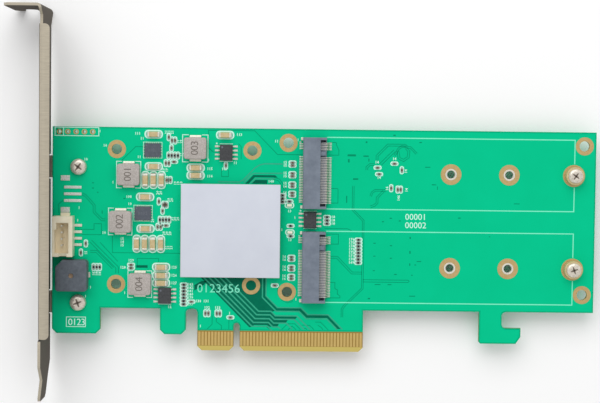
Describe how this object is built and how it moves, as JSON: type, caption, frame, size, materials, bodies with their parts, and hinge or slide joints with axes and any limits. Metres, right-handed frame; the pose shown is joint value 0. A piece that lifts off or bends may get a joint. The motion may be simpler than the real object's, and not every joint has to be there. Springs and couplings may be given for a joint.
{
  "type": "pcie adapter card",
  "caption": "Expansion card with a slot bracket, edge connector, padded switch chip and sockets for flat module boards.",
  "frame": {"origin": "middle of the key notch at the lower end of the edge connector, halfway through the board", "axes": "+X away from the slot bracket along the card, +Y from the edge connector to the card's upper edge, +Z out of the component side"},
  "size_m": [0.1801, 0.12, 0.0216],
  "materials": {
    "solder_mask": "gloss green coating over woven glass board",
    "gold_plating": "satin gold plating",
    "nickel_sheet": "satin nickel-plated sheet",
    "bright_screw": "bright plated screw",
    "tinned_metal": "bright tinned metal",
    "chip_mould": "fine matt moulded resin",
    "pad_grey": "soft matt pad",
    "pressed_iron": "matt pressed powder",
    "sounder_grey": "fine matt moulded plastic",
    "ivory_plastic": "glossy moulded plastic",
    "socket_grey": "satin moulded plastic",
    "capacitor_tan": "satin fired ceramic",
    "resistor_dark": "satin glazed ceramic",
    "lamp_clear": "clear moulded cap"
  },
  "bodies": {
    "root": {"circuit_board": "solder_mask", "front_edge_contacts": "gold_plating", "rear_edge_contacts": "gold_plating", "threaded_inserts": "tinned_metal", "module_standoffs": "tinned_metal", "module_screws": "bright_screw", "slot_bracket": "nickel_sheet", "bracket_screws": "bright_screw", "switch_chip": "chip_mould", "thermal_pad": "pad_grey", "regulator_chip_1": "chip_mould", "regulator_chip_2": "chip_mould", "large_capacitor_bodies": "capacitor_tan", "large_capacitor_ends": "tinned_metal", "small_capacitors": "capacitor_tan", "small_resistors": "resistor_dark", "indicator_lamps": "lamp_clear", "sounder_case": "sounder_grey", "sounder_terminals": "tinned_metal", "fan_header_housing": "ivory_plastic", "fan_header_pins": "tinned_metal", "bare_solder_lands": "tinned_metal", "power_inductor_1_body": "pressed_iron", "power_inductor_1_terminals": "tinned_metal", "power_inductor_2_body": "pressed_iron", "power_inductor_2_terminals": "tinned_metal", "power_inductor_3_body": "pressed_iron", "power_inductor_3_terminals": "tinned_metal", "power_inductor_4_body": "pressed_iron", "power_inductor_4_terminals": "tinned_metal", "eight_lead_chip_1_body": "chip_mould", "eight_lead_chip_1_leads": "tinned_metal", "eight_lead_chip_2_body": "chip_mould", "eight_lead_chip_2_leads": "tinned_metal", "eight_lead_chip_3_body": "chip_mould", "eight_lead_chip_3_leads": "tinned_metal", "lower_socket_housing": "socket_grey", "lower_socket_front_contacts": "tinned_metal", "lower_socket_rear_contacts": "tinned_metal", "lower_socket_solder_tabs": "tinned_metal", "upper_socket_housing": "socket_grey", "upper_socket_front_contacts": "tinned_metal", "upper_socket_rear_contacts": "tinned_metal", "upper_socket_solder_tabs": "tinned_metal"}
  },
  "joints": []
}
